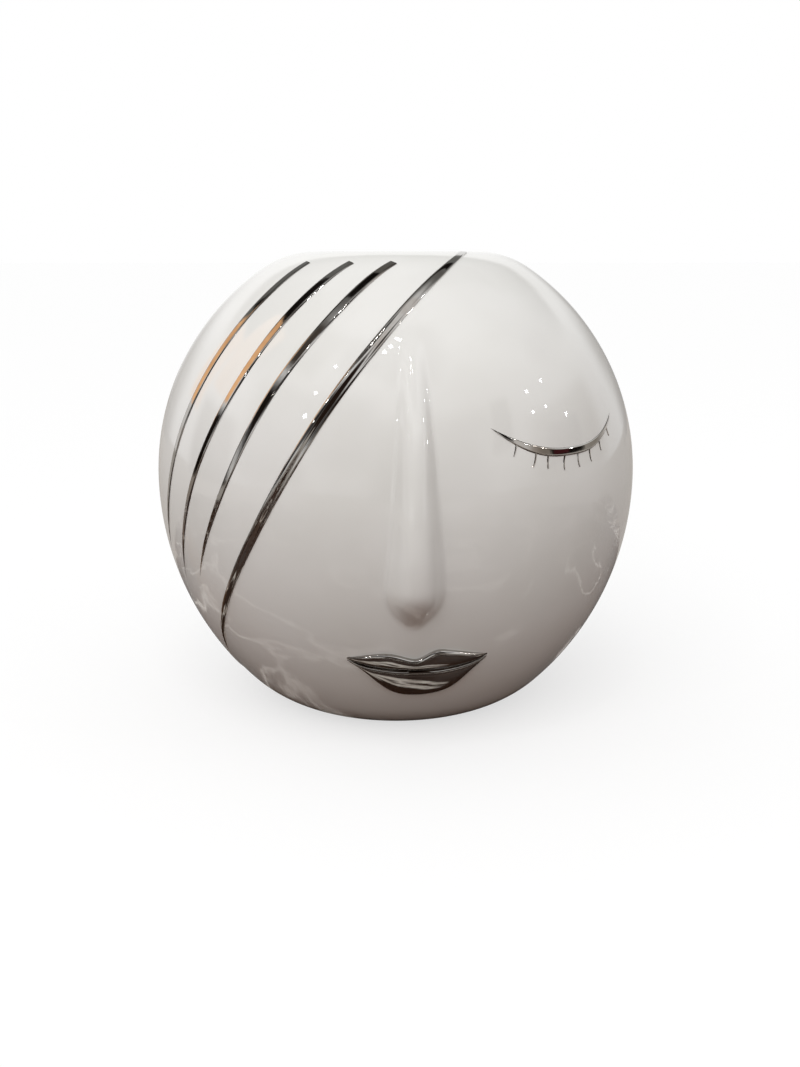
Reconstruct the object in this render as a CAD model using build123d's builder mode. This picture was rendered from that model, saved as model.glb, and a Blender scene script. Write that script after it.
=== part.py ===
"""Head planter: a glazed ball with a sleeping face, silver lines and a stopper in its drain hole.

Millimetres. +Z is up and the face looks towards -Y. The origin is the middle of the
foot ring, on the surface that the planter stands on.
"""

from build123d import *
from math import cos, radians, sin, sqrt
import os

os.makedirs("parts", exist_ok=True)

# Outside of the pot: four tangent arcs, from the lip down to the foot
ball_radius = 150.0
dome_radius = 154.0
shoulder_radius = 57.8
flank_radius = 180.0
belly_radius = 73.5
dome_turn = 56.0
flank_turn = 44.5
belly_turn = 26.0

# Wall, floor and foot
wall = 8.0
floor_corner_radius = 36.0
foot_ring_width = 9.0
foot_recess = 4.0
foot_edge = 1.0
drain_radius = 8.0

# Nose, measured along the height
nose_foot_height = 79.5
nose_length = 160.0
nose_half_width = 19.5
nose_rise = 13.5
nose_bell_share = 0.6
nose_seat = 3.0
nose_root = 3.0

# Swell of the hair, which ends in a low step under the longest line
hair_swell = 1.3
hair_swell_turn = -12.0
hair_back_share = 0.1

# Brow and eyelid, one shallow dome above the closed eye
brow_shift = 26.0
brow_spread = 24.0
brow_turn = 36.0
brow_tilt = 35.0

# Silver lines: drawn on a plane through the middle of the ball
line_width = 5.0
line_relief = 0.6
long_line_width = 6.4
long_line_relief = 0.9
line_plane_turn = -30.0
line_plane_tilt = 30.0
line_top_drop = 6.2
long_line_top_drop = 0.3

# Closed eye and its lashes, drawn on a plane of their own
eye_plane_turn = 36.0
eye_plane_tilt = 13.0
eye_half_width = 47.8
eye_corner_height = 15.0
eye_sag = 19.4
eye_thickness = 4.0
eye_relief = 0.6
lash_width = 1.1
lash_relief = 0.5
lash_root_inset = 0.5

# Lips, one roll above the other
lip_turn = 18.2
lip_middle_turn = 1.6
lip_corner_height = 59.5
mouth_sag = 7.0
mouth_curve = 2.6
upper_lip_height = 10.5
lower_lip_height = 18.4
upper_lip_rise = 4.2
lower_lip_rise = 5.0
lip_seat = 1.5

# Rubber stopper
plug_clearance = 0.3
plug_taper = 0.6
plug_flange_width = 6.0
plug_flange_height = 3.0
plug_tail = 1.5
plug_neck_radius = 3.5
plug_neck_height = 7.0
plug_knob_radius = 6.5
plug_knob_height = 6.0
plug_edge = 0.8

overrun = 5.0

# Heights that follow from the arcs
right_angle = 90.0
flank_depth = flank_radius * sin(radians(flank_turn))
belly_depth = belly_radius * (sin(radians(flank_turn + belly_turn)) - sin(radians(flank_turn)))
equator = flank_depth + belly_depth
dome_height = dome_radius * sin(radians(dome_turn))
shoulder_height = shoulder_radius * (1 - sin(radians(dome_turn)))
lip_top = equator + dome_height + shoulder_height
inner_flank_depth = (flank_radius - wall) * sin(radians(flank_turn))
floor_height = equator - inner_flank_depth - floor_corner_radius * (1 - sin(radians(flank_turn)))

flank_step = flank_radius * (1 - cos(radians(flank_turn)))
belly_step = belly_radius * (cos(radians(flank_turn)) - cos(radians(flank_turn + belly_turn)))
foot_radius = ball_radius - flank_step - belly_step

middle = (0, 0, equator)


def heading(turn, tilt=0):
    """Direction seen at `turn` degrees from the face, towards its left ear, and `tilt` degrees up."""
    level = cos(radians(tilt))
    return Vector(sin(radians(turn)) * level, -cos(radians(turn)) * level, sin(radians(tilt)))


def drawing_plane(turn, tilt=0):
    """Plane through the middle of the ball, square to a direction, with its X level."""
    return Plane(origin=middle, x_dir=heading(turn + right_angle), z_dir=heading(turn, tilt))


def reach(height):
    """Distance from the upright axis to the plain outside of the pot."""
    above = height - equator
    bend = dome_radius if above > 0 else flank_radius
    return ball_radius - bend + sqrt(bend**2 - above**2)


def plain_ball(grow=0.0, shift=(0, 0, 0)):
    """Closed outside of the pot, grown by a layer and moved level by a shift."""
    with BuildPart() as ball:
        with BuildSketch(Plane(origin=shift, x_dir=(1, 0, 0), z_dir=(0, -1, 0))):
            with BuildLine():
                dome = JernArc((ball_radius + grow, equator), (0, 1), dome_radius + grow, dome_turn)
                brim = JernArc(dome @ 1, dome % 1, shoulder_radius + grow, right_angle - dome_turn)
                flank = JernArc((ball_radius + grow, equator), (0, -1), flank_radius + grow, -flank_turn)
                belly = JernArc(flank @ 1, flank % 1, belly_radius + grow, -belly_turn)
                Polyline(brim @ 1, (0, (brim @ 1).Y), (0, (belly @ 1).Y), belly @ 1)
            make_face()
        revolve(axis=Axis(shift, (0, 0, 1)))
    return ball.part


def brow_ball(grow=0.0):
    """Smaller ball that stands out of the pot over the spread of the brow, cut off below the lip."""
    across = ball_radius * sin(radians(brow_spread))
    along = ball_radius * cos(radians(brow_spread)) - brow_shift
    with BuildPart() as brow:
        with Locations(Vector(middle) + heading(brow_turn, brow_tilt) * brow_shift):
            Sphere(sqrt(across**2 + along**2) + grow)
        split(bisect_by=Plane.XY.offset(lip_top - line_top_drop), keep=Keep.BOTTOM)
    return brow.part


# Nose, a loft through level bell-shaped sections on a root that is buried in the wall.
# Each row is a level section, evenly spaced from foot to top: half width and rise, as shares.
nose_shares = [
    (0.34, -0.10),
    (0.86, 0.45),
    (1.11, 0.93),
    (1.12, 1.00),
    (1.07, 0.97),
    (1.00, 0.91),
    (0.95, 0.84),
    (0.90, 0.77),
    (0.85, 0.69),
    (0.81, 0.61),
    (0.77, 0.53),
    (0.73, 0.45),
    (0.69, 0.36),
    (0.66, 0.27),
    (0.63, 0.17),
    (0.60, 0.06),
    (0.57, -0.10),
]

with BuildPart() as nose:
    sections = []
    for number, (width_share, rise_share) in enumerate(nose_shares):
        height = nose_foot_height + nose_length * number / (len(nose_shares) - 1)
        half_width = nose_half_width * width_share
        ridge = reach(height) + nose_rise * rise_share
        flare = sqrt(reach(height) ** 2 - half_width**2) - nose_seat
        root = flare - nose_root
        waist = half_width * nose_bell_share
        with BuildSketch(Plane.XY.offset(height)) as section:
            with BuildLine():
                left_foot = (-half_width, -flare)
                right_foot = (half_width, -flare)
                Bezier(left_foot, (-waist, -flare), (-waist, -ridge), (0, -ridge))
                Bezier((0, -ridge), (waist, -ridge), (waist, -flare), right_foot)
                Polyline(right_foot, (half_width, -root), (-half_width, -root), left_foot)
            make_face()
        sections.append(section.sketch)
    loft(sections=sections)

# Silver lines: centre lines from the rim to the tip. Across, the shares are of the ball's radius.
# Upwards they are of the rise to the lip, and downwards of the middle's height above the foot.
hair_line_shares = [
    [(-0.110, 0.611), (-0.254, 0.325), (-0.361, 0.101), (-0.515, -0.227), (-0.666, -0.603)],
    [(0.090, 0.622), (-0.078, 0.248), (-0.198, -0.022), (-0.405, -0.419), (-0.559, -0.719)],
    [(0.238, 0.654), (0.082, 0.195), (-0.037, -0.071), (-0.264, -0.509), (-0.422, -0.733)],
    [
        (0.322, 0.861),
        (0.371, 0.763),
        (0.390, 0.627),
        (0.370, 0.458),
        (0.308, 0.202),
        (0.205, -0.073),
        (0.058, -0.370),
        (-0.112, -0.626),
        (-0.258, -0.788),
        (-0.440, -0.954),
    ],
]


def on_line_plane(across_share, rise_share):
    """Place on the plane that the silver lines are drawn on."""
    full_rise = lip_top - equator if rise_share > 0 else equator
    return (across_share * ball_radius, rise_share * full_rise)


# Width along a line, as shares: place from top to tip, and part of the full width
width_shares = [(0.0, 0.80), (0.15, 0.95), (0.35, 1.0), (0.6, 0.98), (0.8, 0.76), (0.92, 0.42)]


def line_band(centre_shares, width):
    """Flat outline of one tapering line, from a blunt top to a point."""
    with BuildSketch() as band:
        with BuildLine():
            points = [on_line_plane(*shares) for shares in centre_shares]
            centre = Spline(*points, mode=Mode.PRIVATE)
            left = []
            right = []
            for place, part in width_shares:
                across = (centre % place).rotate(Axis.Z, right_angle) * (width * part / 2)
                left.append(centre @ place - across)
                right.append(centre @ place + across)
            Spline(*left, centre @ 1)
            Spline(*right, centre @ 1)
            Line(left[0], right[0])
        make_face()
    return band.sketch


# Hair side: everything left of the longest line, which runs on past both ends
hair_side_shares = [
    (0.322, 0.861),
    (0.371, 0.763),
    (0.390, 0.627),
    (0.370, 0.458),
    (0.308, 0.202),
    (0.205, -0.073),
    (0.058, -0.370),
    (-0.112, -0.626),
    (-0.258, -0.788),
    (-0.560, -1.053),
]
hair_shift = heading(hair_swell_turn) * hair_swell

with BuildPart() as hair_side:
    with BuildSketch(drawing_plane(line_plane_turn, line_plane_tilt)):
        with BuildLine():
            edge_points = [on_line_plane(*shares) for shares in hair_side_shares]
            edge = Spline(*edge_points)
            far = 2 * ball_radius
            Polyline(edge @ 1, (-far, (edge @ 1).Y), (-far, far), ((edge @ 0).X, far), edge @ 0)
        make_face()
    extrude(amount=far, both=True)

with BuildPart() as hair:
    add(plain_ball(shift=hair_shift))
    add(hair_side.part, mode=Mode.INTERSECT)
    hair_back = Plane(origin=middle, z_dir=heading(hair_swell_turn)).offset(ball_radius * hair_back_share)
    split(bisect_by=hair_back, keep=Keep.TOP)
    split(bisect_by=Plane.XY.offset(foot_recess), keep=Keep.TOP)

# Head form, closed, before it is hollowed
with BuildPart() as head_form:
    add(plain_ball())
    add(hair.part)
    add(brow_ball())
    add(nose.part)

# Inside of the pot, with the rounded lip, the drain hole and the hollow of the foot
with BuildPart() as inside:
    with BuildSketch(Plane.XZ):
        with BuildLine():
            inner_dome = JernArc((ball_radius - wall, equator), (0, 1), dome_radius - wall, dome_turn)
            inner_brim = JernArc(
                inner_dome @ 1,
                inner_dome % 1,
                shoulder_radius - wall,
                right_angle - dome_turn,
            )
            lip = JernArc(inner_brim @ 1, inner_brim % 1, wall / 2, -2 * right_angle)
            inner_flank = JernArc(
                (ball_radius - wall, equator),
                (0, -1),
                flank_radius - wall,
                -flank_turn,
            )
            corner = JernArc(
                inner_flank @ 1,
                inner_flank % 1,
                floor_corner_radius,
                flank_turn - right_angle,
            )
            above_lip = lip_top + overrun
            Polyline(lip @ 1, ((lip @ 1).X, above_lip), (0, above_lip), (0, floor_height), corner @ 1)
        make_face()
    revolve(axis=Axis.Z)

with BuildPart() as head_shell:
    add(head_form.part)
    add(inside.part, mode=Mode.SUBTRACT)
    with BuildSketch(Plane.XY):
        Circle(foot_radius - foot_ring_width)
    extrude(amount=foot_recess, mode=Mode.SUBTRACT)
    with BuildSketch(Plane.XY):
        Circle(drain_radius)
    extrude(amount=floor_height, mode=Mode.SUBTRACT)
    foot_ring = head_shell.faces().sort_by(Axis.Z)[0]
    chamfer(foot_ring.edges(), length=foot_edge)

head_shell.part.label = "head_shell"
export_step(head_shell.part, "parts/head_shell.step")


def face_skin(relief, shift=(0, 0, 0)):
    """Face without the nose, grown by a thin layer."""
    with BuildPart() as skin:
        add(plain_ball(grow=relief, shift=shift))
        add(brow_ball(grow=relief))
    return skin.part


# Silver lines 1 to 3 stop level below the rim, and the longest runs up to just under the lip
line_plane = drawing_plane(line_plane_turn, line_plane_tilt)
long_line = len(hair_line_shares)

for number, centre_shares in enumerate(hair_line_shares, start=1):
    width = long_line_width if number == long_line else line_width
    relief = long_line_relief if number == long_line else line_relief
    top_drop = long_line_top_drop if number == long_line else line_top_drop
    with BuildPart() as hair_line:
        with BuildSketch(line_plane):
            add(line_band(centre_shares, width))
        extrude(amount=2 * ball_radius)
        add(face_skin(relief, hair_shift), mode=Mode.INTERSECT)
        add(head_form.part, mode=Mode.SUBTRACT)
        split(bisect_by=Plane.XY.offset(lip_top - top_drop), keep=Keep.BOTTOM)
    hair_line.part.label = f"hair_line_{number}"
    export_step(hair_line.part, f"parts/hair_line_{number}.step")


# Closed eye: a crescent of two arcs between its corners
eye_plane = drawing_plane(eye_plane_turn, eye_plane_tilt)


with BuildPart() as eyelid_line:
    with BuildSketch(eye_plane):
        with BuildLine():
            inner_corner = (-eye_half_width, eye_corner_height)
            outer_corner = (eye_half_width, eye_corner_height)
            lower_edge = ThreePointArc(inner_corner, (0, eye_corner_height - eye_sag), outer_corner)
            upper_sag = eye_sag - eye_thickness
            ThreePointArc(inner_corner, (0, eye_corner_height - upper_sag), outer_corner)
        make_face()
    extrude(amount=2 * ball_radius)
    add(face_skin(eye_relief), mode=Mode.INTERSECT)
    add(head_form.part, mode=Mode.SUBTRACT)
eyelid_line.part.label = "eyelid_line"
export_step(eyelid_line.part, "parts/eyelid_line.step")

# Lashes hang from the lower edge of the crescent.
# Each row: place along that edge, length, lean of the tip and bend, as shares of the eye's half width.
lash_shares = [
    (0.155, 0.125, -0.050, 0.006),
    (0.275, 0.150, -0.055, 0.010),
    (0.355, 0.150, -0.020, -0.008),
    (0.470, 0.170, -0.022, -0.014),
    (0.570, 0.165, 0.018, -0.014),
    (0.675, 0.155, 0.022, -0.012),
    (0.785, 0.125, 0.022, -0.008),
    (0.900, 0.110, 0.038, -0.006),
]

for number, (place_share, length_share, lean_share, bend_share) in enumerate(lash_shares, start=1):
    with BuildPart() as lash:
        with BuildSketch(eye_plane):
            with BuildLine():
                root = lower_edge @ place_share
                root = Vector(root.X, root.Y + lash_root_inset)
                tip = root + Vector(lean_share, -length_share) * eye_half_width
                half_way = (root + tip) / 2 + Vector(bend_share * eye_half_width, 0)
                ThreePointArc(root, half_way, tip)
            trace(line_width=lash_width)
        extrude(amount=2 * ball_radius)
        add(face_skin(lash_relief), mode=Mode.INTERSECT)
        add(head_form.part, mode=Mode.SUBTRACT)
        add(eyelid_line.part, mode=Mode.SUBTRACT)
    lash.part.label = f"lash_{number}"
    export_step(lash.part, f"parts/lash_{number}.step")


# Lips: each is a loft through upright sections, whose ends dive into the face at the corners.
# Each row is a section, evenly spaced between the corners: heights of upper and lower lip
# and rise, as shares.
lip_shares = [
    (0.12, 0.06, -0.15),
    (0.58, 0.20, 0.55),
    (0.93, 0.58, 0.82),
    (1.03, 0.91, 0.95),
    (0.88, 1.05, 1.00),
    (0.76, 1.09, 0.96),
    (1.18, 1.07, 1.00),
    (1.29, 1.00, 0.95),
    (1.03, 0.80, 0.82),
    (0.58, 0.35, 0.55),
    (0.12, 0.08, -0.15),
]


def parting_height(place):
    """Height of the line between the lips."""
    return lip_corner_height - mouth_sag * (1 - abs(place) ** mouth_curve)


def lip_loft(lower):
    """Roll of one lip, sunk a little into the face so that the face trims it."""
    height_full = lower_lip_height if lower else upper_lip_height
    rise_full = lower_lip_rise if lower else upper_lip_rise
    with BuildPart() as roll:
        sections = []
        for number, (upper_share, lower_share, rise_share) in enumerate(lip_shares):
            place = 2 * number / (len(lip_shares) - 1) - 1
            turn = lip_middle_turn + place * lip_turn
            plane = Plane(origin=(0, 0, 0), x_dir=heading(turn), z_dir=heading(turn - right_angle))
            start = parting_height(place)
            end = start - height_full * lower_share if lower else start + height_full * upper_share
            crown = (start + end) / 2
            with BuildSketch(plane) as section:
                with BuildLine():
                    bulge = ThreePointArc(
                        (reach(start) - lip_seat, start),
                        (reach(crown) + rise_full * rise_share, crown),
                        (reach(end) - lip_seat, end),
                    )
                    Line(bulge @ 1, bulge @ 0)
                make_face()
            sections.append(section.sketch)
        loft(sections=sections)
        add(head_form.part, mode=Mode.SUBTRACT)
    return roll.part


with BuildPart() as upper_lip:
    add(lip_loft(lower=False))
upper_lip.part.label = "upper_lip"
export_step(upper_lip.part, "parts/upper_lip.step")

with BuildPart() as lower_lip:
    add(lip_loft(lower=True))
    add(upper_lip.part, mode=Mode.SUBTRACT)
lower_lip.part.label = "lower_lip"
export_step(lower_lip.part, "parts/lower_lip.step")


# Stopper: it drops into the drain hole from inside the pot and is pulled out by its knob
with BuildPart() as drain_plug:
    with BuildSketch(Plane.XZ):
        with BuildLine():
            stem_radius = drain_radius - plug_clearance
            tail_height = foot_recess + plug_tail
            flange_top = floor_height + plug_flange_height
            knob_bottom = flange_top + plug_neck_height
            knob_top = knob_bottom + plug_knob_height
            flange_radius = drain_radius + plug_flange_width
            Polyline(
                (0, tail_height),
                (stem_radius - plug_taper, tail_height),
                (stem_radius, floor_height),
                (flange_radius, floor_height),
                (flange_radius, flange_top),
                (plug_neck_radius, flange_top),
                (plug_neck_radius, knob_bottom),
                (plug_knob_radius, knob_bottom),
                (plug_knob_radius, knob_top),
                (0, knob_top),
                close=True,
            )
        make_face()
    revolve(axis=Axis.Z)
    knob_edges = drain_plug.edges().filter_by(GeomType.CIRCLE).filter_by_position(
        Axis.Z, knob_bottom, knob_top
    )
    fillet(knob_edges.filter_by(lambda edge: edge.radius > plug_neck_radius), radius=2 * plug_edge)
    rim_edges = drain_plug.edges().filter_by(GeomType.CIRCLE).filter_by_position(
        Axis.Z, flange_top, flange_top
    )
    fillet(rim_edges.sort_by(SortBy.RADIUS)[-1], radius=plug_edge)
drain_plug.part.label = "drain_plug"
export_step(drain_plug.part, "parts/drain_plug.step")

print("height", round(lip_top, 2), "floor", round(floor_height, 2), "foot radius", round(foot_radius, 2))
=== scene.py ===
import math
import bpy
import numpy as np
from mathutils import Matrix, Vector


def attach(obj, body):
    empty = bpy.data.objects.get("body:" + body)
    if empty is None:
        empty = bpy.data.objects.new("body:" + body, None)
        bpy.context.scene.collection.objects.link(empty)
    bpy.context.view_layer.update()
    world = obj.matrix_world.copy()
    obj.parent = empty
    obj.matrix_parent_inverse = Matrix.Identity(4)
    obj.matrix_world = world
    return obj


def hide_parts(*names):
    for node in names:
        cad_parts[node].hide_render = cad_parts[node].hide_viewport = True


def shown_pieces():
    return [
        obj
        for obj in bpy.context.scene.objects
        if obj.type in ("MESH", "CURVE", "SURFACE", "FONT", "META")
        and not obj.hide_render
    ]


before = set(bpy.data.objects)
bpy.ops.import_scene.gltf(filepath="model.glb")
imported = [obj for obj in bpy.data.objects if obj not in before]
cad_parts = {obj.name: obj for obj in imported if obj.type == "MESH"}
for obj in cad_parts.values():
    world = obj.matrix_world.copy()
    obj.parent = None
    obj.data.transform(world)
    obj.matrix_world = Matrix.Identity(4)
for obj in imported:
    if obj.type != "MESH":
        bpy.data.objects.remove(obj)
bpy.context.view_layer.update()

print("frame loaded with", len(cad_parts), "nodes")


# colours, nodes and curves that every piece uses

def hexColour(text):
    # sRGB hex to the linear colour that a socket wants
    parts = [int(text[i:i + 2], 16) / 255 for i in (1, 3, 5)]
    return tuple(c / 12.92 if c <= 0.04045 else ((c + 0.055) / 1.055) ** 2.4 for c in parts) + (1.0,)


def addNode(tree, kind, settings=None, links=None):
    # settings fill properties or sockets, links feed sockets from other nodes
    node = tree.nodes.new(kind)
    for key, value in (settings or {}).items():
        if isinstance(key, str) and hasattr(node, key):
            setattr(node, key, value)
        else:
            node.inputs[key].default_value = value
    for key, source in (links or {}).items():
        tree.links.new(source, node.inputs[key])
    return node


def setStops(ramp, *stops):
    # the stops of a colour ramp from left to right, each a position and a hex colour
    elements = ramp.color_ramp.elements
    while len(elements) < len(stops):
        elements.new(1.0)
    for element, (position, colour) in zip(elements, stops):
        element.position, element.color = position, hexColour(colour)


def newMaterial(name):
    material = bpy.data.materials.new(name)
    material.use_nodes = True
    material.node_tree.nodes.clear()
    return material, material.node_tree


def clearSelection():
    if bpy.context.object and bpy.context.object.mode != "OBJECT":
        bpy.ops.object.mode_set(mode="OBJECT")
    bpy.ops.object.select_all(action="DESELECT")


def smoothCurve(points, places, even=False):
    # natural cubic through given points, read at shares 0 to 1 of its chord length, or of its row count
    points = np.array(points, float)
    knots = np.r_[0, np.cumsum(np.linalg.norm(np.diff(points, axis=0), axis=1))]
    if even:
        knots = np.arange(len(points), dtype=float)
    knots /= knots[-1]
    n = len(points)
    step = np.diff(knots)
    system = np.eye(n)
    target = np.zeros_like(points)
    for i in range(1, n - 1):
        system[i, i - 1:i + 2] = step[i - 1], 2 * (step[i - 1] + step[i]), step[i]
        target[i] = 6 * ((points[i + 1] - points[i]) / step[i] - (points[i] - points[i - 1]) / step[i - 1])
    bend = np.linalg.solve(system, target)
    places = np.clip(np.asarray(places, float), 0, 1)
    k = np.clip(np.searchsorted(knots, places, side="right") - 1, 0, n - 2)
    a, h = (knots[k + 1] - places)[:, None], step[k][:, None]
    b = (places - knots[k])[:, None]
    return (bend[k] * a ** 3 + bend[k + 1] * b ** 3) / (6 * h) \
        + (points[k] / h - bend[k] * h / 6) * a + (points[k + 1] / h - bend[k + 1] * h / 6) * b


def smoothStep(value, low, high):
    t = np.clip((value - low) / (high - low), 0, 1)
    return t * t * (3 - 2 * t)


def softOver(excess, blend):
    # how far one surface stands over another, with the crease between them rounded
    return np.where(excess > blend, excess, np.where(excess < -blend, 0, (excess + blend) ** 2 / (4 * blend)))


# the pot is one slip-cast ball with a rounded lip, turned from its section

pot = {
    "ballRadius": 0.150, "domeRadius": 0.154, "shoulderRadius": 0.0578,
    "flankRadius": 0.180, "bellyRadius": 0.0735,
    "domeTurn": 56.0, "flankTurn": 44.5, "bellyTurn": 26.0,
    "wall": 0.008, "floorCorner": 0.036,
    "footRing": 0.009, "footRecess": 0.004, "footEdge": 0.001, "drainRadius": 0.008,
    "outerStep": 0.0019, "lipStep": 0.0009, "innerStep": 0.008,   # spacing of the rings
    "floorRings": [0.060, 0.042, 0.025, 0.014], "recessRings": [0.025, 0.045],
    "turns": [(180, 72), (76, 84), (28, 62), (76, 76)],           # degrees and steps, finest over the nose
    "mergeWithin": 0.00001, "smoothUnder": 35,
    "skin": 0.0005, "plainFoot": 0.002,                           # what counts as outside for the relief
}


def sinDeg(a):
    return math.sin(math.radians(a))


def cosDeg(a):
    return math.cos(math.radians(a))


flankDrop = pot["flankRadius"] * sinDeg(pot["flankTurn"])
bellyEnd = pot["flankTurn"] + pot["bellyTurn"]
equator = flankDrop + pot["bellyRadius"] * (sinDeg(bellyEnd) - sinDeg(pot["flankTurn"]))
domeRise = pot["domeRadius"] * sinDeg(pot["domeTurn"])
lipTop = equator + domeRise + pot["shoulderRadius"] * (1 - sinDeg(pot["domeTurn"]))
lipCrest = pot["ballRadius"] - pot["domeRadius"] \
    + (pot["domeRadius"] - pot["shoulderRadius"]) * cosDeg(pot["domeTurn"])   # where the shoulder tops out
middle = np.array([0.0, 0.0, equator])


def reach(height):
    # outside radius of the plain pot at a height
    above = np.asarray(height, float) - equator
    ball, dome, shoulder = pot["ballRadius"], pot["domeRadius"], pot["shoulderRadius"]
    flank, belly = pot["flankRadius"], pot["bellyRadius"]
    shoulderZ = domeRise - shoulder * sinDeg(pot["domeTurn"])
    bellyX = ball - flank + (flank - belly) * cosDeg(pot["flankTurn"])
    bellyZ = -(flank - belly) * sinDeg(pot["flankTurn"])

    def root(radius, rise):
        return np.sqrt(np.clip(radius ** 2 - rise ** 2, 0, None))

    upper = np.where(above > domeRise,
                     lipCrest + root(shoulder, above - shoulderZ), ball - dome + root(dome, above))
    lower = np.where(above < -flankDrop,
                     bellyX + root(belly, above - bellyZ), ball - flank + root(flank, above))
    return np.where(above > 0, upper, lower)


def arcRun(start, aim, radius, turn, step):
    # points along an arc that leaves start in the direction aim, in degrees, and its last direction
    side = 1 if turn > 0 else -1
    centre = start + radius * np.array([-sinDeg(aim) * side, cosDeg(aim) * side])
    count = max(3, int(round(radius * math.radians(abs(turn)) / step)))
    run = []
    for i in range(1, count + 1):
        a = aim + turn * i / count
        run.append(centre - radius * np.array([-sinDeg(a) * side, cosDeg(a) * side]))
    return run, aim + turn


def potSection():
    # foot, outside, lip, inside, floor and drain hole, as one closed run of (radius, height)
    start = np.array([pot["ballRadius"], equator])
    wall = pot["wall"]
    below, aim = arcRun(start, -90, pot["flankRadius"], -pot["flankTurn"], pot["outerStep"])
    belly, aim = arcRun(below[-1], aim, pot["bellyRadius"], -pot["bellyTurn"], pot["outerStep"])
    below += belly[:-1]
    upArcs = [
        (pot["domeRadius"], pot["domeTurn"], "outerStep"),
        (pot["shoulderRadius"], 90 - pot["domeTurn"], "outerStep"),
        (wall / 2, 180, "lipStep"),
        (pot["shoulderRadius"] - wall, pot["domeTurn"] - 90, "innerStep"),
        (pot["domeRadius"] - wall, -pot["domeTurn"], "innerStep"),
        (pot["flankRadius"] - wall, -pot["flankTurn"], "innerStep"),
        (pot["floorCorner"], pot["flankTurn"] - 90, "innerStep"),
    ]
    section, point, aim = [start], start, 90
    for radius, turn, step in upArcs:
        run, aim = arcRun(point, aim, radius, turn, pot[step])
        section += run
        point = run[-1]
    floorHeight, footRadius = point[1], belly[-1][0]
    edge, recess, drain = pot["footEdge"], pot["footRecess"], pot["drainRadius"]
    ringInside = footRadius - pot["footRing"]
    section += [np.array([radius, floorHeight]) for radius in pot["floorRings"]]
    section += [np.array(p) for p in [
        (drain + edge / 2, floorHeight), (drain, floorHeight - edge / 2), (drain, recess + edge / 2),
        (drain + edge / 2, recess), *((radius, recess) for radius in pot["recessRings"]),
        (ringInside, recess), (ringInside, edge), (ringInside + edge, 0), (footRadius - edge, 0),
    ]]
    return section + below[::-1]


sectionPoints = potSection()
clearSelection()
bpy.ops.mesh.primitive_plane_add(size=0.01, location=(0, 0, 0))
potBody = bpy.context.object
potBody.name = "pot_body"
bpy.ops.object.mode_set(mode="EDIT")
bpy.ops.mesh.select_all(action="SELECT")
bpy.ops.mesh.merge(type="CENTER")                       # one point, drawn out into the section
bpy.ops.transform.translate(value=(sectionPoints[0][0], 0, sectionPoints[0][1]))
for before, after in zip(sectionPoints, sectionPoints[1:] + sectionPoints[:1]):
    stepTo = Vector((after[0] - before[0], 0, after[1] - before[1]))
    bpy.ops.mesh.extrude_region_move(TRANSFORM_OT_translate={"value": stepTo})
bpy.ops.mesh.select_all(action="SELECT")
for degrees, steps in pot["turns"]:
    bpy.ops.mesh.spin(steps=steps, angle=-math.radians(degrees), center=(0, 0, 0), axis=(0, 0, 1))
bpy.ops.mesh.select_all(action="SELECT")
bpy.ops.mesh.remove_doubles(threshold=pot["mergeWithin"])
bpy.ops.mesh.normals_make_consistent(inside=False)
bpy.ops.object.mode_set(mode="OBJECT")
print("pot turned:", len(potBody.data.vertices), "points")


# the relief is cast into the ball: hair swell, brow and nose

def facing(turn, tilt=0):
    # turn in degrees from the face towards its left ear, tilt upwards
    return np.array([sinDeg(turn) * cosDeg(tilt), -cosDeg(turn) * cosDeg(tilt), sinDeg(tilt)])


def drawingAxes(plane):
    # level axis, rising axis and outward axis of a plane that a line is drawn on
    out = facing(*plane)
    level = facing(plane[0] + 90)
    return level, np.cross(out, level), out


hair = {
    "swell": 0.0013, "turn": -12, "plane": (-30, 30), "softness": 0.0014,
    "edgeSlope": 0.8, "frontFade": 0.2, "lipFade": (0.014, 0.004), "farthestBack": -0.05,
    "edge": [(0.322, 0.790), (0.371, 0.700), (0.390, 0.575), (0.370, 0.420), (0.308, 0.185),
             (0.205, -0.070), (0.058, -0.355), (-0.112, -0.601), (-0.258, -0.756), (-0.560, -1.010)],
}
brow = {"shift": 0.026, "spread": 24, "facing": (36, 35), "blend": 0.0010, "lipFade": (0.030, 0.010)}
nose = {
    "foot": 0.0795, "length": 0.160, "halfWidth": 0.0195, "rise": 0.0135,
    "seat": 0.003, "waist": 0.6, "blend": 0.0016,
    # half width and rise in even rows from under the tip to the brow
    "shares": [(0.34, -0.10), (0.86, 0.45), (1.11, 0.93), (1.12, 1.00), (1.07, 0.97), (1.00, 0.91),
               (0.95, 0.84), (0.90, 0.77), (0.85, 0.69), (0.81, 0.61), (0.77, 0.53), (0.73, 0.45),
               (0.69, 0.36), (0.66, 0.27), (0.63, 0.17), (0.60, 0.06), (0.57, -0.10)],
}

hairEdge = smoothCurve(hair["edge"], np.linspace(0, 1, 400)) * pot["ballRadius"]
bellPlaces = np.linspace(0, 1, 200)
bellAcross = (1 - bellPlaces) ** 3 + 3 * bellPlaces * (1 - bellPlaces) * nose["waist"]
bellHeight = 3 * (1 - bellPlaces) * bellPlaces ** 2 + bellPlaces ** 3
noseTable = smoothCurve(nose["shares"], np.linspace(0, 1, 300), even=True)


def underLip(points, fade):
    # 1 on the body, 0 close under the lip
    return 1 - smoothStep(points[:, 2], lipTop - fade[0], lipTop - fade[1])


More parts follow.
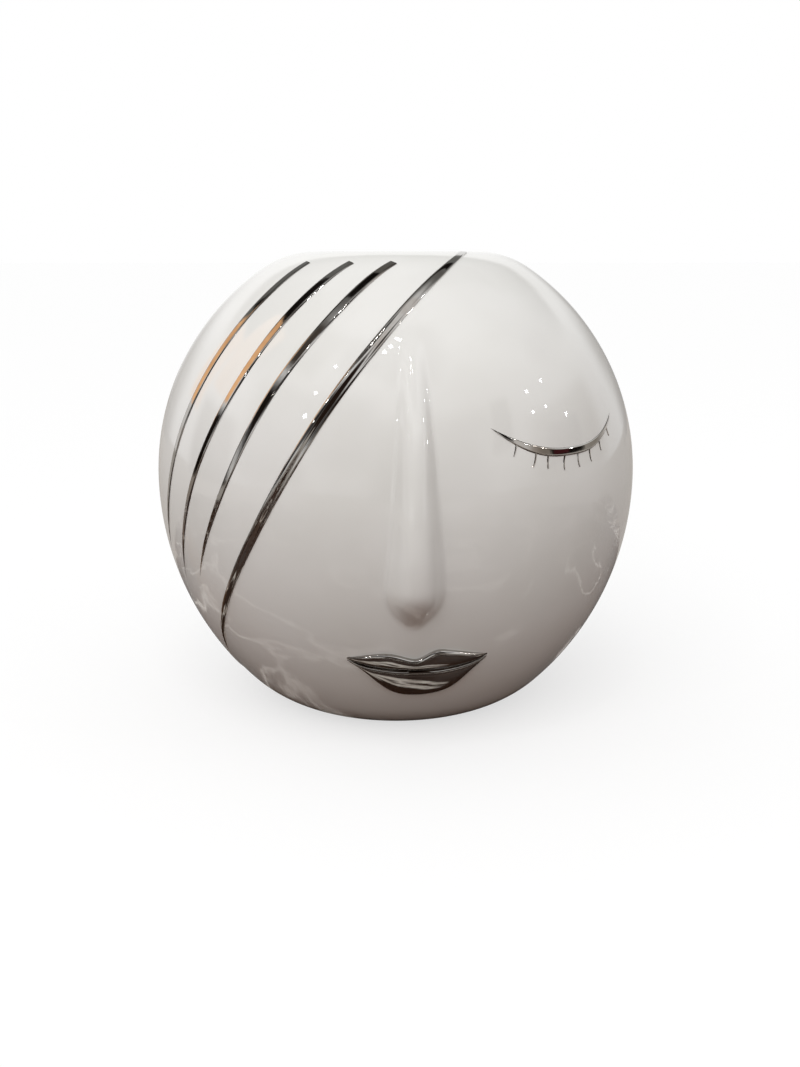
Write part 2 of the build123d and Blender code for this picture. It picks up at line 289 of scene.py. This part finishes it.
def relief(points):
    # plain outside points moved onto the cast relief: first the hair
    level, rising, out = drawingAxes(hair["plane"])
    local = points - middle
    u, v = local @ level, local @ rising
    order = np.argsort(hairEdge[:, 1])
    side = (np.interp(v, hairEdge[order, 1], hairEdge[order, 0]) - u) * hair["edgeSlope"]
    front = local @ facing(hair["turn"]) / pot["ballRadius"]
    share = smoothStep(side, -hair["softness"], hair["softness"]) * smoothStep(front, 0.0, hair["frontFade"])
    share = share * underLip(points, hair["lipFade"]) * (local @ out > hair["farthestBack"])
    moved = points + np.outer(share * hair["swell"], facing(hair["turn"]))

    # the brow is a smaller ball that stands out a little
    centre = middle + facing(*brow["facing"]) * brow["shift"]
    browRadius = math.hypot(pot["ballRadius"] * sinDeg(brow["spread"]),
                            pot["ballRadius"] * cosDeg(brow["spread"]) - brow["shift"])
    away = moved - centre
    distance = np.linalg.norm(away, axis=1)
    lift = softOver(browRadius - distance, brow["blend"]) * underLip(points, brow["lipFade"])
    moved = moved + away / distance[:, None] * lift[:, None]

    # the nose is a bell in each level cut, its width and rise read from the rows
    share = np.clip((moved[:, 2] - nose["foot"]) / nose["length"], 0, 1)
    rows = np.linspace(0, 1, len(noseTable))
    width = np.interp(share, rows, noseTable[:, 0]) * nose["halfWidth"]
    rise = np.interp(share, rows, noseTable[:, 1]) * nose["rise"]
    inRange = (moved[:, 2] > nose["foot"]) & (moved[:, 2] < nose["foot"] + nose["length"])
    inRange &= moved[:, 1] < 0
    reachHere = reach(moved[:, 2])
    flare = np.sqrt(np.clip(reachHere ** 2 - width ** 2, 0, None)) - nose["seat"]
    bell = np.interp(np.abs(moved[:, 0]) / width, bellAcross[::-1], bellHeight[::-1])
    front = flare + (reachHere + rise - flare) * bell
    front = np.where(inRange & (np.abs(moved[:, 0]) < width), front, 0)
    moved[:, 1] -= softOver(front + moved[:, 1], nose["blend"]) * (front > 0)
    return moved


def meshPoints(thing):
    flat = np.zeros(len(thing.data.vertices) * 3)
    thing.data.vertices.foreach_get("co", flat)
    return flat.reshape(-1, 3)


def setPoints(thing, points):
    thing.data.vertices.foreach_set("co", np.asarray(points, np.float32).ravel())
    thing.data.update()


points = meshPoints(potBody)
outside = np.hypot(points[:, 0], points[:, 1]) > reach(points[:, 2]) - pot["skin"]
outside &= points[:, 2] > pot["plainFoot"]
points[outside] = relief(points[outside])
setPoints(potBody, points)
bpy.ops.object.shade_smooth_by_angle(angle=math.radians(pot["smoothUnder"]))
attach(potBody, "pot")
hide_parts("head_shell")
print("relief cast:", int(outside.sum()), "outside points")


# thin raised pieces: each is a grid, laid on the relief and given its thickness

stroke = {
    "farOut": 0.19, "halvings": 34,                       # search along the drawing direction
    "mergeWithin": 0.00002, "smoothUnder": 50,
    "edgeShare": 0.3,                                     # height of a stroke's edge, by its relief
}


def castOn(u, v, plane):
    # outside points under the drawn places (u, v), with the relief
    level, rising, out = drawingAxes(plane)
    flat = middle + np.outer(u, level) + np.outer(v, rising)

    def plainHit(start):
        low, high = np.zeros(len(start)), np.full(len(start), stroke["farOut"])
        for _ in range(stroke["halvings"]):
            mid = (low + high) / 2
            p = start + mid[:, None] * out
            inside = (np.hypot(p[:, 0], p[:, 1]) < reach(p[:, 2])) & (p[:, 2] < lipTop)
            low, high = np.where(inside, mid, low), np.where(inside, high, mid)
        return start + low[:, None] * out

    hit = plainHit(flat)
    for _ in range(2):                                   # the relief moves a point a little off its place
        drift = relief(hit) - hit
        drift -= np.outer(drift @ out, out)
        hit = plainHit(flat - drift)
    return hit


def outward(points):
    # direction square to the plain outside
    z, near = points[:, 2], 0.0004
    slope = (reach(z + near) - reach(z - near)) / (2 * near)
    normal = np.c_[points[:, 0], points[:, 1], -slope * np.hypot(points[:, 0], points[:, 1])]
    return normal / np.linalg.norm(normal, axis=1)[:, None]


def softCrown(t, edge):
    # share of the relief across a stroke: a low edge and a rounded top
    return stroke["edgeShare"] + (1 - stroke["edgeShare"]) * smoothStep(1 - np.abs(t), 0, edge)


def layPatch(name, node, along, across, place, depth):
    # place(s, t) gives points for s from 0 to 1 along and t from -1 to 1 across
    clearSelection()
    bpy.ops.mesh.primitive_grid_add(x_subdivisions=along, y_subdivisions=across, size=1)
    patch = bpy.context.object
    patch.name = name
    grid = meshPoints(patch)
    setPoints(patch, place(grid[:, 0] + 0.5, grid[:, 1] * 2))
    bpy.ops.object.mode_set(mode="EDIT")
    bpy.ops.mesh.select_all(action="SELECT")
    bpy.ops.mesh.remove_doubles(threshold=stroke["mergeWithin"])
    bpy.ops.object.mode_set(mode="OBJECT")
    normals = sum((f.normal * f.area for f in patch.data.polygons), Vector())
    centre = sum((v.co for v in patch.data.vertices), Vector()) / len(patch.data.vertices)
    if normals.dot(centre - Vector(middle)) < 0:
        patch.data.flip_normals()
    solid = patch.modifiers.new("thickness", "SOLIDIFY")
    solid.thickness = depth
    solid.offset = -1                                     # inwards, into the glaze
    bpy.ops.object.modifier_apply(modifier=solid.name)
    bpy.ops.object.shade_smooth_by_angle(angle=math.radians(stroke["smoothUnder"]))
    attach(patch, "pot")
    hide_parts(node)
    return patch


# silver hair lines, drawn on the plane of the hair

hairLines = {
    # full width, height over the glaze, start under the lip, and width along the run as shares
    "short": {"width": 0.0050, "relief": 0.0006, "topDrop": 0.0062, "taper": [
        (0.0, 1.05), (0.12, 1.2), (0.35, 1.08), (0.6, 0.98), (0.8, 0.76), (0.92, 0.42), (1.0, 0.02)]},
    "long": {"width": 0.0056, "relief": 0.0008, "topDrop": 0.0009, "taper": [
        (0.0, 0.66), (0.15, 0.86), (0.35, 1.02), (0.6, 1.0), (0.8, 0.80), (0.92, 0.45), (1.0, 0.02)]},
    "edge": 0.25, "flatUnder": 0.25, "depth": 0.0005, "lookAhead": 0.004, "grid": (150, 9),
    # middle lines on the plane of the hair, as shares of the ball's radius
    "centres": [
        [(-0.110, 0.560), (-0.254, 0.298), (-0.361, 0.093), (-0.515, -0.218), (-0.666, -0.579)],
        [(0.090, 0.570), (-0.078, 0.227), (-0.198, -0.021), (-0.405, -0.402), (-0.559, -0.690)],
        [(0.238, 0.600), (0.082, 0.179), (-0.037, -0.068), (-0.264, -0.488), (-0.422, -0.703)],
        hair["edge"][:-1] + [(-0.440, -0.915)],
    ],
}

for number, centre in enumerate(hairLines["centres"], start=1):
    kind = hairLines["long" if number == 4 else "short"]
    dense = smoothCurve(centre, np.linspace(0, 1, 600)) * pot["ballRadius"]
    tops = castOn(dense[:, 0], dense[:, 1], hair["plane"])
    dense = dense[int(np.argmax(tops[:, 2] < lipTop - kind["topDrop"])):]

    def placeLine(s, t):
        spot, look = smoothCurve(dense, s), hairLines["lookAhead"]
        ahead = smoothCurve(dense, np.clip(s + look, 0, 1)) - smoothCurve(dense, np.clip(s - look, 0, 1))
        ahead /= np.linalg.norm(ahead, axis=1)[:, None]
        half = kind["width"] / 2 * np.interp(s, *np.array(kind["taper"]).T)
        u = spot[:, 0] - ahead[:, 1] * half * t
        v = spot[:, 1] + ahead[:, 0] * half * t
        on = castOn(u, v, hair["plane"])
        runOut = np.clip(half / (kind["width"] * hairLines["flatUnder"]), 0, 1)   # the tip ends flat
        crown = kind["relief"] * softCrown(t, hairLines["edge"]) * runOut
        return relief(on) + outward(on) * crown[:, None]

    line = layPatch(f"silver_line_{number}", f"hair_line_{number}", *hairLines["grid"], placeLine,
                    hairLines["depth"])
print("hair lines laid")


# the closed eye is a crescent with eight lashes

eye = {
    "plane": (36, 13), "halfWidth": 0.0478, "cornerHeight": 0.015, "sag": 0.0203, "thickness": 0.0045,
    "lowerFullness": (2.5, 2.75), "upperFullness": (2.1, 2.6),   # towards the nose, towards the ear
    "relief": 0.0005, "edge": 0.28, "flatUnder": 0.001, "depth": 0.0005, "grid": (120, 8),
}
lashes = {
    "width": 0.0011, "relief": 0.0004, "depth": 0.0004, "overlap": 0.0005, "thinning": 0.45, "grid": (12, 4),
    # place along the lower edge, length, lean and bend, as shares of the half width
    "strokes": [(0.155, 0.125, -0.050, 0.006), (0.275, 0.150, -0.055, 0.010), (0.355, 0.150, -0.020, -0.008),
                (0.470, 0.170, -0.022, -0.014), (0.570, 0.165, 0.018, -0.014), (0.675, 0.155, 0.022, -0.012),
                (0.785, 0.125, 0.022, -0.008), (0.900, 0.110, 0.038, -0.006)],
}


def lidArc(u, sag, fullness):
    # height of an edge that sags between the corners, a little fuller than a circle
    return eye["cornerHeight"] - sag * (1 - (np.abs(u) / eye["halfWidth"]) ** np.where(u < 0, *fullness))


def placeLid(s, t):
    u = (s * 2 - 1) * eye["halfWidth"]
    low = lidArc(u, eye["sag"], eye["lowerFullness"])
    high = lidArc(u, eye["sag"] - eye["thickness"], eye["upperFullness"])
    on = castOn(u, low + (high - low) * (t + 1) / 2, eye["plane"])
    runOut = np.clip((high - low) / eye["flatUnder"], 0.1, 1)     # the corners end flat
    crown = eye["relief"] * softCrown(t, eye["edge"]) * runOut
    return relief(on) + outward(on) * crown[:, None]


lid = layPatch("lid_crescent", "eyelid_line", *eye["grid"], placeLid, eye["depth"])

lidRadius = (eye["halfWidth"] ** 2 + eye["sag"] ** 2) / (2 * eye["sag"])
for number, (along, length, lean, bend) in enumerate(lashes["strokes"], start=1):
    swing = math.asin(eye["halfWidth"] / lidRadius) * (2 * along - 1)
    across = lidRadius * math.sin(swing)
    root = np.array([across, lidArc(across, eye["sag"], eye["lowerFullness"]) + lashes["overlap"]])
    tip = root + np.array([lean, -length]) * eye["halfWidth"]
    bow = (root + tip) / 2 + np.array([bend * eye["halfWidth"], 0])

    def placeLash(s, t):
        spot = smoothCurve([root, bow, tip], s)
        half = lashes["width"] / 2 * (1 - lashes["thinning"] * s ** 3)
        on = castOn(spot[:, 0] + half * t, spot[:, 1], eye["plane"])
        crown = lashes["relief"] * np.sqrt(np.clip(1 - t ** 4, 0, 1))
        return relief(on) + outward(on) * crown[:, None]

    lash = layPatch(f"lash_stroke_{number}", f"lash_{number}", *lashes["grid"], placeLash, lashes["depth"])
print("eye and lashes laid")


# the lips are two rolls with a bow, sunk into the face at their edges

lips = {
    "turn": 18.2, "middleTurn": 1.6, "cornerHeight": 0.0595, "sag": 0.007, "curve": 2.6, "seat": 0.0006,
    "upper": 0.0105, "lower": 0.0184, "upperRise": 0.0041, "lowerRise": 0.0049,
    "crown": 0.38, "depth": 0.0008, "grid": (110, 26),
    # height of the upper lip, of the lower lip, and rise, in even columns from corner to corner
    "shares": [(0.12, 0.06, -0.05), (0.54, 0.20, 0.55), (0.90, 0.58, 0.82), (1.06, 0.91, 0.95),
               (0.90, 1.05, 1.00), (0.80, 1.09, 0.96), (1.27, 1.07, 1.00), (1.22, 1.00, 0.95),
               (0.93, 0.80, 0.82), (0.54, 0.35, 0.55), (0.12, 0.08, -0.05)],
}


def placeLip(lower):
    def place(s, t):
        table = smoothCurve(lips["shares"], s, even=True)
        share = s * 2 - 1
        start = lips["cornerHeight"] - lips["sag"] * (1 - np.abs(share) ** lips["curve"])
        size = -lips["lower"] * table[:, 1] if lower else lips["upper"] * table[:, 0]
        rise = (lips["lowerRise"] if lower else lips["upperRise"]) * table[:, 2]
        across = (t + 1) / 2
        z = start + size * across
        roll = np.clip(1 - (2 * across - 1) ** 2, 0, 1) ** lips["crown"]
        r = reach(z) - lips["seat"] + (rise + lips["seat"]) * roll
        turn = np.radians(lips["middleTurn"] + share * lips["turn"])
        return np.c_[r * np.sin(turn), -r * np.cos(turn), z]
    return place


for name, node, lower in (("lip_roll_upper", "upper_lip", False), ("lip_roll_lower", "lower_lip", True)):
    lip = layPatch(name, node, *lips["grid"], placeLip(lower), lips["depth"])
print("lips laid")


# materials, one for each finish

def glazedEarthenware():
    # slip-cast white earthenware under a clear gloss glaze: deep, even shine, faint warm and cool drifts,
    # and a bare biscuit ring where it stood in the kiln. drifts 70 mm long, grit 0.6 mm
    material, tree = newMaterial("white gloss glaze on earthenware")
    place = addNode(tree, "ShaderNodeTexCoord")
    drift = addNode(tree, "ShaderNodeTexNoise", {"Scale": 14, "Detail": 3, "Roughness": 0.5},
                    {"Vector": place.outputs["Object"]})
    glaze = addNode(tree, "ShaderNodeValToRGB", {}, {"Fac": drift.outputs["Fac"]})
    setStops(glaze, (0.35, "#E6E5E1"), (0.65, "#EBEAE7"))
    grit = addNode(tree, "ShaderNodeTexNoise", {"Scale": 1600, "Detail": 2},
                   {"Vector": place.outputs["Object"]})
    biscuit = addNode(tree, "ShaderNodeValToRGB", {}, {"Fac": grit.outputs["Fac"]})
    setStops(biscuit, (0, "#C9BCA8"), (1, "#DDD3C2"))
    apart = addNode(tree, "ShaderNodeSeparateXYZ", {}, {"Vector": place.outputs["Object"]})
    bare = addNode(tree, "ShaderNodeMapRange",
                   {"From Min": 0.0007, "From Max": 0.0010, "To Min": 1.0, "To Max": 0.0},
                   {"Value": apart.outputs["Z"]})
    colour = addNode(tree, "ShaderNodeMix", {"data_type": "RGBA"}, {"Factor": bare.outputs["Result"]})
    tree.links.new(glaze.outputs["Color"], colour.inputs[6])
    tree.links.new(biscuit.outputs["Color"], colour.inputs[7])
    gloss = addNode(tree, "ShaderNodeMapRange", {"To Min": 0.02, "To Max": 0.05},
                    {"Value": drift.outputs["Fac"]})
    rough = addNode(tree, "ShaderNodeMix", {"data_type": "FLOAT", 3: 0.85},
                    {"Factor": bare.outputs["Result"], 2: gloss.outputs["Result"]})
    # casting and glaze flow leave slow waves some 30 mm long
    waves = addNode(tree, "ShaderNodeTexNoise", {"Scale": 30, "Detail": 1},
                    {"Vector": place.outputs["Object"]})
    bump = addNode(tree, "ShaderNodeBump", {"Strength": 0.25, "Distance": 0.0006},
                   {"Height": waves.outputs["Fac"]})
    shader = addNode(tree, "ShaderNodeBsdfPrincipled", {"IOR": 1.5}, {
        "Base Color": colour.outputs[2], "Roughness": rough.outputs[0], "Normal": bump.outputs["Normal"]})
    addNode(tree, "ShaderNodeOutputMaterial", {}, {"Surface": shader.outputs["BSDF"]})
    return material


def platinumLustre():
    # platinum lustre brushed on over the glaze and fired: a thin dark mirror with brush drifts,
    # tan where the film is thinner. drifts 40 mm long, brush marks 2.4 mm
    material, tree = newMaterial("fired platinum lustre")
    place = addNode(tree, "ShaderNodeTexCoord")
    film = addNode(tree, "ShaderNodeTexNoise", {"Scale": 26, "Detail": 4, "Roughness": 0.6},
                   {"Vector": place.outputs["Object"]})
    colour = addNode(tree, "ShaderNodeValToRGB", {}, {"Fac": film.outputs["Fac"]})
    setStops(colour, (0.34, "#A0978F"), (0.5, "#B8B5B1"), (0.66, "#C8C6C3"))
    strokes = addNode(tree, "ShaderNodeTexNoise", {"Scale": 420, "Detail": 3},
                      {"Vector": place.outputs["Object"]})
    gloss = addNode(tree, "ShaderNodeMapRange", {"To Min": 0.02, "To Max": 0.09},
                    {"Value": strokes.outputs["Fac"]})
    bump = addNode(tree, "ShaderNodeBump", {"Strength": 0.1, "Distance": 0.0002},
                   {"Height": strokes.outputs["Fac"]})
    shader = addNode(tree, "ShaderNodeBsdfPrincipled", {"Metallic": 1.0}, {
        "Base Color": colour.outputs["Color"], "Roughness": gloss.outputs["Result"],
        "Normal": bump.outputs["Normal"]})
    addNode(tree, "ShaderNodeOutputMaterial", {}, {"Surface": shader.outputs["BSDF"]})
    return material


def mouldedRubber():
    # moulded black rubber: dull, with a grain of about 1 mm from the mould
    material, tree = newMaterial("moulded rubber")
    place = addNode(tree, "ShaderNodeTexCoord")
    grain = addNode(tree, "ShaderNodeTexNoise", {"Scale": 900, "Detail": 3},
                    {"Vector": place.outputs["Object"]})
    colour = addNode(tree, "ShaderNodeValToRGB", {}, {"Fac": grain.outputs["Fac"]})
    setStops(colour, (0, "#262423"), (1, "#33302F"))
    bump = addNode(tree, "ShaderNodeBump", {"Strength": 0.3, "Distance": 0.0002},
                   {"Height": grain.outputs["Fac"]})
    shader = addNode(tree, "ShaderNodeBsdfPrincipled", {"Roughness": 0.62, "IOR": 1.52}, {
        "Base Color": colour.outputs["Color"], "Normal": bump.outputs["Normal"]})
    addNode(tree, "ShaderNodeOutputMaterial", {}, {"Surface": shader.outputs["BSDF"]})
    return material


glaze, lustre, rubber = glazedEarthenware(), platinumLustre(), mouldedRubber()
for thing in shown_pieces():
    if thing.type != "MESH":
        continue
    use = glaze if thing.name == "pot_body" else rubber if thing.name == "drain_plug" else lustre
    thing.data.materials.clear()
    thing.data.materials.append(use)
print("materials set")


# studio: white paper floor, soft light from above, small lamps that glint in the glaze.
# the floor and the cards on it lie 0.2 to 0.4 mm under the foot

studio = {
    "skyHigh": 0.98, "skyLow": 0.69, "skyLeft": 1.05, "skyRight": 0.60,
    "sun": 1.05, "sunWay": (0.25, 0.85, -0.8), "sunSpread": 50,
    "paper": "#FFFFFF", "bounce": "#6C564A", "shadowShare": 0.35,
    # small lamps above and beside the camera
    "lamps": [(1.34, -0.34, 0.98), (1.25, -0.64, 0.96), (1.42, -0.49, 0.74), (1.33, -0.72, 0.74),
              (1.54, -0.18, 0.56), (-0.67, -0.71, 1.32), (-0.10, -0.65, 1.42), (-0.18, -0.79, 1.56),
              (-0.04, -0.64, 1.64), (0.04, -0.82, 1.67), (-0.94, -0.85, 1.13), (-1.06, -0.93, 0.90)],
    "lampPower": 1.0, "lampRadius": 0.021, "floorSize": 60, "floorHeight": -0.0004,
}


def straightSight(tree):
    # 1 for the camera, in gloss and through glass, 0 for the light that reaches the pot
    ray = addNode(tree, "ShaderNodeLightPath")
    direct = addNode(tree, "ShaderNodeMath", {"operation": "ADD"},
                     {0: ray.outputs["Is Camera Ray"], 1: ray.outputs["Is Glossy Ray"]})
    seen = addNode(tree, "ShaderNodeMath", {"operation": "ADD", "use_clamp": True},
                   {0: direct.outputs["Value"], 1: ray.outputs["Is Transmission Ray"]})
    return seen.outputs["Value"]


clearSelection()
bpy.ops.mesh.primitive_plane_add(size=studio["floorSize"], location=(0, 0, studio["floorHeight"]))
floor = bpy.context.object
floor.name = "paper_floor"
paperMaterial, tree = newMaterial("white paper sweep")
bounce = addNode(tree, "ShaderNodeBsdfDiffuse", {"Color": hexColour(studio["bounce"])})
paper = addNode(tree, "ShaderNodeBsdfDiffuse", {"Color": hexColour(studio["paper"])})
white = addNode(tree, "ShaderNodeEmission", {"Strength": 1.0})
sheet = addNode(tree, "ShaderNodeMixShader", {"Fac": studio["shadowShare"]},
                {1: white.outputs[0], 2: paper.outputs[0]})
either = addNode(tree, "ShaderNodeMixShader", {},
                 {"Fac": straightSight(tree), 1: bounce.outputs[0], 2: sheet.outputs[0]})
addNode(tree, "ShaderNodeOutputMaterial", {}, {"Surface": either.outputs[0]})
floor.data.materials.append(paperMaterial)


def layCard(name, spot, size, material):
    # a card that shows only in gloss: in the glaze and in the lustre
    clearSelection()
    bpy.ops.mesh.primitive_plane_add(size=1, location=spot)
    card = bpy.context.object
    card.name = name
    card.scale = (size[0], size[1], 1)
    bpy.ops.object.transform_apply(location=False, rotation=False, scale=True)
    card.data.materials.append(material)
    for way in ("camera", "diffuse", "transmission", "volume_scatter", "shadow"):
        setattr(card, "visible_" + way, False)
    return card


def marbleTop():
    # brown marble: ground mottled in 300 mm clouds, with thin pale veins some 400 mm long
    material, tree = newMaterial("brown marble top")
    place = addNode(tree, "ShaderNodeTexCoord")
    mottle = addNode(tree, "ShaderNodeTexNoise", {"Scale": 3.5, "Detail": 6, "Distortion": 1.2},
                     {"Vector": place.outputs["Object"]})
    ground = addNode(tree, "ShaderNodeValToRGB", {}, {"Fac": mottle.outputs["Fac"]})
    setStops(ground, (0.34, "#24160F"), (0.60, "#4C3629"), (0.68, "#A8998B"))
    shift = addNode(tree, "ShaderNodeMapping", {"Location": (-0.1, -0.06, 0)},
                    {"Vector": place.outputs["Object"]})
    crack = addNode(tree, "ShaderNodeTexNoise", {"Scale": 2.6, "Detail": 5, "Distortion": 2.4},
                    {"Vector": shift.outputs["Vector"]})
    vein = addNode(tree, "ShaderNodeValToRGB", {}, {"Fac": crack.outputs["Fac"]})
    setStops(vein, (0.482, "#000000"), (0.5, "#FFFFFF"), (0.518, "#000000"))
    colour = addNode(tree, "ShaderNodeMix", {"data_type": "RGBA", 7: hexColour("#F4EEE6")},
                     {"Factor": vein.outputs["Color"]})
    tree.links.new(ground.outputs["Color"], colour.inputs[6])
    shader = addNode(tree, "ShaderNodeBsdfPrincipled", {"Roughness": 0.25}, {"Base Color": colour.outputs[2]})
    apart = addNode(tree, "ShaderNodeSeparateXYZ", {}, {"Vector": place.outputs["Object"]})
    near = addNode(tree, "ShaderNodeMapRange",                      # the front edge fades out
                   {"interpolation_type": "SMOOTHSTEP", "From Min": -0.60, "From Max": 0.12},
                   {"Value": apart.outputs["Y"]})
    clear = addNode(tree, "ShaderNodeBsdfTransparent")
    top = addNode(tree, "ShaderNodeMixShader", {},
                  {"Fac": near.outputs["Result"], 1: clear.outputs[0], 2: shader.outputs["BSDF"]})
    addNode(tree, "ShaderNodeOutputMaterial", {}, {"Surface": top.outputs[0]})
    return material


def roomCardMaterial(name, colour, softness, strength):
    # an even tone that fades out towards the card's edges
    material, tree = newMaterial(name)
    place = addNode(tree, "ShaderNodeTexCoord")
    apart = addNode(tree, "ShaderNodeSeparateXYZ", {}, {"Vector": place.outputs["UV"]})
    fades = []
    for axis in ("X", "Y"):
        inset = addNode(tree, "ShaderNodeMath", {"operation": "PINGPONG", 1: 0.5}, {0: apart.outputs[axis]})
        fades.append(addNode(tree, "ShaderNodeMapRange",
                             {"interpolation_type": "SMOOTHSTEP", "From Min": 0.0, "From Max": softness},
                             {"Value": inset.outputs["Value"]}))
    cover = addNode(tree, "ShaderNodeMath", {"operation": "MULTIPLY"},
                    {0: fades[0].outputs["Result"], 1: fades[1].outputs["Result"]})
    clear = addNode(tree, "ShaderNodeBsdfTransparent")
    tone = addNode(tree, "ShaderNodeEmission", {"Color": hexColour(colour), "Strength": strength})
    card = addNode(tree, "ShaderNodeMixShader", {},
                   {"Fac": cover.outputs["Value"], 1: clear.outputs[0], 2: tone.outputs[0]})
    addNode(tree, "ShaderNodeOutputMaterial", {}, {"Surface": card.outputs[0]})
    return material


layCard("marble_card", (-0.1, -0.58, -0.0002), (1.8, 1.64), marbleTop())

# the room around the pot, as cards: turn and tilt from the middle of the pot, distance, width, height,
# colour, soft edge and strength
roomCards = [
    (-150, 4, 2.3, 1.70, 1.50, "#A3A09C", 0.40, 1.0),     # grey at both sides, towards the back
    (150, 4, 2.3, 1.70, 1.50, "#989592", 0.40, 1.0),
    (-98, 7, 1.9, 1.20, 0.95, "#1E1814", 0.20, 1.0),      # dark wall at the left
    (-62, 19, 1.9, 1.55, 1.70, "#241D19", 0.24, 1.0),
    (-66, 54, 1.9, 0.80, 0.98, "#544D47", 0.26, 1.0),
    (-30, 24, 2.0, 1.35, 1.60, "#2B2521", 0.30, 1.0),
    (-27, 58, 1.9, 0.90, 0.75, "#45413E", 0.30, 1.0),
    (6, 60, 1.95, 1.00, 1.30, "#474341", 0.24, 1.0),
    (10, 12, 2.0, 2.60, 1.90, "#2C211B", 0.26, 1.0),      # dim in front
    (-104, 36, 2.1, 0.66, 1.20, "#FFC893", 0.08, 1.3),    # light wood
    (-122, 24, 2.0, 0.50, 0.95, "#FFC893", 0.10, 1.3),
    (-126, 48, 1.9, 0.52, 0.72, "#171412", 0.05, 1.0),    # dark beam overhead
    (-119, 58, 1.9, 0.66, 0.45, "#1B1816", 0.08, 1.0),
    (-140, 74, 1.9, 0.68, 0.34, "#1B1816", 0.08, 1.0),
    (140, 66, 1.7, 0.45, 0.90, "#1C1917", 0.10, 1.0),
    (84, 10, 1.95, 2.40, 1.10, "#A39D95", 0.24, 1.0),     # grey wall at the right
    (44, 22, 1.8, 0.34, 0.75, "#1B1714", 0.20, 1.0),
    (80, 8, 1.85, 0.86, 0.42, "#161210", 0.12, 1.0),
    (75, 8, 1.75, 0.36, 0.30, "#4A1F22", 0.15, 1.0),
]
for number, row in enumerate(roomCards, start=1):
    turn, tilt, distance, width, height, colour, softness, strength = row
    away = Vector(facing(turn, tilt))
    card = layCard(f"room_card_{number}", Vector(middle) + away * distance, (width, height),
                   roomCardMaterial(f"room card {number}", colour, softness, strength))
    card.rotation_euler = away.to_track_quat("Z", "Y").to_euler()
layCard("floor_card", (0, 0, -0.0003), (9.0, 9.0),
        roomCardMaterial("pale stone floor", "#BAB5AF", 0.2, 1.0))
layCard("ceiling_card", (0, 1.3, 2.05), (7.0, 4.0),
        roomCardMaterial("grey ceiling", "#7C7C7A", 0.22, 1.0))
print("floor and room cards laid")

# the sky is white where it is seen, and a soft slope of light where it lights
world = bpy.data.worlds.new("soft studio")
bpy.context.scene.world = world
world.use_nodes = True
tree = world.node_tree
tree.nodes.clear()
place = addNode(tree, "ShaderNodeTexCoord")
apart = addNode(tree, "ShaderNodeSeparateXYZ", {}, {"Vector": place.outputs["Generated"]})
height = addNode(tree, "ShaderNodeMapRange",
                 {"From Min": 0.0, "From Max": 0.9, "To Min": studio["skyLow"], "To Max": studio["skyHigh"]},
                 {"Value": apart.outputs["Z"]})
across = addNode(tree, "ShaderNodeMapRange",
                 {"From Min": -1.0, "From Max": 1.0,
                  "To Min": studio["skyLeft"], "To Max": studio["skyRight"]},
                 {"Value": apart.outputs["X"]})
sky = addNode(tree, "ShaderNodeMath", {"operation": "MULTIPLY"},
              {0: height.outputs["Result"], 1: across.outputs["Result"]})
strength = addNode(tree, "ShaderNodeMix", {"data_type": "FLOAT", 3: 1.0},
                   {"Factor": straightSight(tree), 2: sky.outputs["Value"]})
back = addNode(tree, "ShaderNodeBackground", {"Color": (1, 1, 1, 1)}, {"Strength": strength.outputs[0]})
addNode(tree, "ShaderNodeOutputWorld", {}, {"Surface": back.outputs["Background"]})

sun = bpy.data.objects.new("soft key", bpy.data.lights.new("soft key", "SUN"))
bpy.context.scene.collection.objects.link(sun)
sun.data.energy = studio["sun"]
sun.data.angle = math.radians(studio["sunSpread"])
sun.rotation_euler = Vector(studio["sunWay"]).to_track_quat("-Z", "Y").to_euler()
sun.visible_glossy = False

for number, spot in enumerate(studio["lamps"], start=1):
    name = f"small lamp {number}"
    lamp = bpy.data.objects.new(name, bpy.data.lights.new(name, "POINT"))
    bpy.context.scene.collection.objects.link(lamp)
    lamp.location = spot
    lamp.data.energy = studio["lampPower"]
    lamp.data.shadow_soft_size = studio["lampRadius"]
print("lights set")


# camera level with the lip, looking 13 degrees down, a little to the face's right

# focal length, slide and frame height in pixels of the frame
view = {"distance": 0.7635, "turn": -4.0, "pitch": 13.24, "focal": 1200, "slide": 4.0, "frameHeight": 1067,
        "sensor": 36}
camera = bpy.data.objects.new("camera", bpy.data.cameras.new("camera"))
bpy.context.scene.collection.objects.link(camera)
camera.location = Vector(facing(view["turn"]) * view["distance"]) + Vector((0, 0, lipTop))
camera.rotation_euler = (math.radians(90 - view["pitch"]), 0, math.radians(view["turn"]))
camera.data.sensor_width = view["sensor"]
camera.data.lens = view["focal"] / view["frameHeight"] * view["sensor"]
camera.data.shift_x = view["slide"] / view["frameHeight"]
camera.data.clip_start, camera.data.clip_end = 0.01, 100
bpy.context.scene.camera = camera
bpy.context.scene.view_settings.view_transform = "Standard"

print("scene ready")
